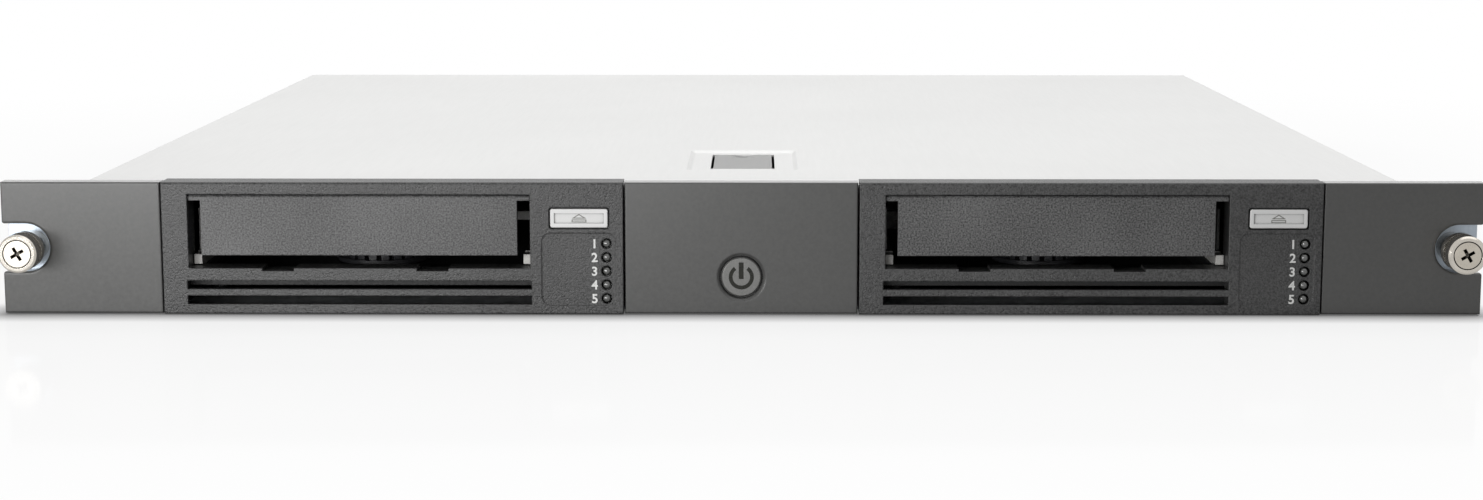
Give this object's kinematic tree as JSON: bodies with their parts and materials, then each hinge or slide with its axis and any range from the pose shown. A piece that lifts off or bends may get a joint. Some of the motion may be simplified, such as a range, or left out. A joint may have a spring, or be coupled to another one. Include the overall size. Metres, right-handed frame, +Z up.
{
  "type": "rack tape drive",
  "caption": "Low rack-mount tape drive housing with hinged cartridge doors, eject and power buttons, captive thumbscrews and a sliding top cover with a release latch.",
  "frame": {"origin": "middle of the footprint, on the floor plane under the tray", "axes": "+X to the right seen from the front, +Y to the rear, +Z up; the front faces -Y"},
  "size_m": [0.4826, 0.464, 0.0435],
  "materials": {
    "zinc_sheet": "zinc-plated sheet",
    "zinc_plate": "bright zinc plate",
    "cover_sheet": "pale satin plated sheet",
    "fascia_paint": "satin dark grey paint",
    "bezel_plastic": "fine-textured moulding",
    "door_plastic": "fine-textured moulding",
    "pale_plastic": "satin moulding",
    "white_plastic": "satin moulding",
    "black_plastic": "satin moulding",
    "hub_plastic": "satin moulding",
    "power_cap": "satin metallic",
    "dark_lens": "gloss tinted",
    "light_pipe": "clear frosted",
    "latch_grey": "satin grey paint",
    "nickel": "bright nickel",
    "screw_steel": "bright zinc plate",
    "spring_steel": "bright rolled strip",
    "drive_casting": "dark coated casting",
    "drive_sheet": "zinc-plated sheet",
    "circuit_board": "solder mask",
    "head_ceramic": "ground face",
    "port_shell": "plated shell"
  },
  "bodies": {
    "chassis": {"chassis_tray": "zinc_sheet", "rear_panel": "zinc_sheet", "left_rack_ear": "zinc_plate", "right_rack_ear": "zinc_plate", "left_ear_fascia": "fascia_paint", "right_ear_fascia": "fascia_paint", "centre_fascia": "fascia_paint", "front_cross_rail": "zinc_sheet", "power_switch_board": "circuit_board", "power_supply_case": "zinc_sheet", "power_inlet": "black_plastic", "left_fan_frame": "black_plastic", "right_fan_frame": "black_plastic", "left_data_port": "port_shell", "right_data_port": "port_shell", "chassis_screws": "screw_steel", "left_screw_ferrule": "nickel", "right_screw_ferrule": "nickel", "left_drive_base": "drive_casting", "left_drive_lid": "drive_sheet", "left_drive_bezel": "bezel_plastic", "left_door_spring": "spring_steel", "left_indicator_light_pipe": "light_pipe", "left_front_board": "circuit_board", "left_tape_head": "head_ceramic", "left_main_board": "circuit_board", "left_host_connector": "black_plastic", "right_drive_base": "drive_casting", "right_drive_lid": "drive_sheet", "right_drive_bezel": "bezel_plastic", "right_door_spring": "spring_steel", "right_indicator_light_pipe": "light_pipe", "right_front_board": "circuit_board", "right_tape_head": "head_ceramic", "right_main_board": "circuit_board", "right_host_connector": "black_plastic"},
    "cover": {"top_cover": "cover_sheet", "latch_spring": "spring_steel"},
    "latch": {"cover_latch": "latch_grey"},
    "power_key": {"power_button": "power_cap", "power_button_lens": "dark_lens"},
    "left_screw_carrier": {"left_screw_retainer": "spring_steel"},
    "left_thumbscrew": {"left_thumb_knob": "nickel", "left_captive_screw": "screw_steel"},
    "left_fan": {"left_fan_rotor": "black_plastic"},
    "left_door": {"left_cartridge_door": "door_plastic"},
    "left_eject": {"left_eject_button": "pale_plastic"},
    "left_loader": {"left_loader_carriage": "white_plastic"},
    "left_spindle": {"left_spindle_hub": "hub_plastic"},
    "left_reel": {"left_takeup_reel": "hub_plastic"},
    "right_screw_carrier": {"right_screw_retainer": "spring_steel"},
    "right_thumbscrew": {"right_thumb_knob": "nickel", "right_captive_screw": "screw_steel"},
    "right_fan": {"right_fan_rotor": "black_plastic"},
    "right_door": {"right_cartridge_door": "door_plastic"},
    "right_eject": {"right_eject_button": "pale_plastic"},
    "right_loader": {"right_loader_carriage": "white_plastic"},
    "right_spindle": {"right_spindle_hub": "hub_plastic"},
    "right_reel": {"right_takeup_reel": "hub_plastic"}
  },
  "joints": [
    {"name": "cover_slide", "type": "slide", "parent": "chassis", "child": "cover", "axis": [0, 1, 0], "range_m": [0, 0.3]},
    {"name": "latch_press", "type": "slide", "parent": "cover", "child": "latch", "axis": [0, 0, -1], "range_m": [0, 0.002], "stiffness_N_per_m": 900, "springref_m": -0.002, "deforming": ["latch_spring"]},
    {"name": "power_press", "type": "slide", "parent": "chassis", "child": "power_key", "axis": [0, 1, 0], "range_m": [0, 0.0012], "stiffness_N_per_m": 700, "springref_m": -0.001},
    {"name": "left_screw_feed", "type": "slide", "parent": "chassis", "child": "left_screw_carrier", "axis": [0, 1, 0], "range_m": [0, 0.006]},
    {"name": "left_screw_turn", "type": "hinge", "parent": "left_screw_carrier", "child": "left_thumbscrew", "pos_m": [-0.23255, -0.225, 0.0218], "axis": [0, 1, 0], "range_deg": [0, 2160]},
    {"name": "left_fan_spin", "type": "hinge", "parent": "chassis", "child": "left_fan", "pos_m": [-0.056, 0.217, 0.02], "axis": [0, 1, 0], "continuous": true},
    {"name": "left_door_swing", "type": "hinge", "parent": "chassis", "child": "left_door", "pos_m": [-0.1246, -0.2168, 0.0381], "axis": [1, 0, 0], "range_deg": [0, 90], "stiffness_Nm_per_rad": 0.002, "springref_deg": -17.19, "deforming": ["left_door_spring"]},
    {"name": "left_eject_press", "type": "slide", "parent": "chassis", "child": "left_eject", "axis": [0, 1, 0], "range_m": [0, 0.001], "stiffness_N_per_m": 600, "springref_m": -0.001},
    {"name": "left_loader_slide", "type": "slide", "parent": "chassis", "child": "left_loader", "axis": [0, 1, 0], "range_m": [0, 0.014]},
    {"name": "left_spindle_turn", "type": "hinge", "parent": "chassis", "child": "left_spindle", "pos_m": [-0.1246, -0.163, 0.01], "axis": [0, 0, 1], "continuous": true},
    {"name": "left_reel_turn", "type": "hinge", "parent": "chassis", "child": "left_reel", "pos_m": [-0.1148, -0.053, 0.025], "axis": [0, 0, 1], "continuous": true},
    {"name": "right_screw_feed", "type": "slide", "parent": "chassis", "child": "right_screw_carrier", "axis": [0, 1, 0], "range_m": [0, 0.006]},
    {"name": "right_screw_turn", "type": "hinge", "parent": "right_screw_carrier", "child": "right_thumbscrew", "pos_m": [0.23255, -0.225, 0.0218], "axis": [0, 1, 0], "range_deg": [0, 2160]},
    {"name": "right_fan_spin", "type": "hinge", "parent": "chassis", "child": "right_fan", "pos_m": [0.056, 0.217, 0.02], "axis": [0, 1, 0], "continuous": true},
    {"name": "right_door_swing", "type": "hinge", "parent": "chassis", "child": "right_door", "pos_m": [0.1027, -0.2168, 0.0381], "axis": [1, 0, 0], "range_deg": [0, 90], "stiffness_Nm_per_rad": 0.002, "springref_deg": -17.19, "deforming": ["right_door_spring"]},
    {"name": "right_eject_press", "type": "slide", "parent": "chassis", "child": "right_eject", "axis": [0, 1, 0], "range_m": [0, 0.001], "stiffness_N_per_m": 600, "springref_m": -0.001},
    {"name": "right_loader_slide", "type": "slide", "parent": "chassis", "child": "right_loader", "axis": [0, 1, 0], "range_m": [0, 0.014]},
    {"name": "right_spindle_turn", "type": "hinge", "parent": "chassis", "child": "right_spindle", "pos_m": [0.1027, -0.163, 0.01], "axis": [0, 0, 1], "continuous": true},
    {"name": "right_reel_turn", "type": "hinge", "parent": "chassis", "child": "right_reel", "pos_m": [0.1125, -0.053, 0.025], "axis": [0, 0, 1], "continuous": true}
  ],
  "couplings": [
    {"joint": "left_screw_feed", "follows": "left_screw_turn", "m_per_rad": 0.00015915},
    {"joint": "right_screw_feed", "follows": "right_screw_turn", "m_per_rad": 0.00015915}
  ]
}
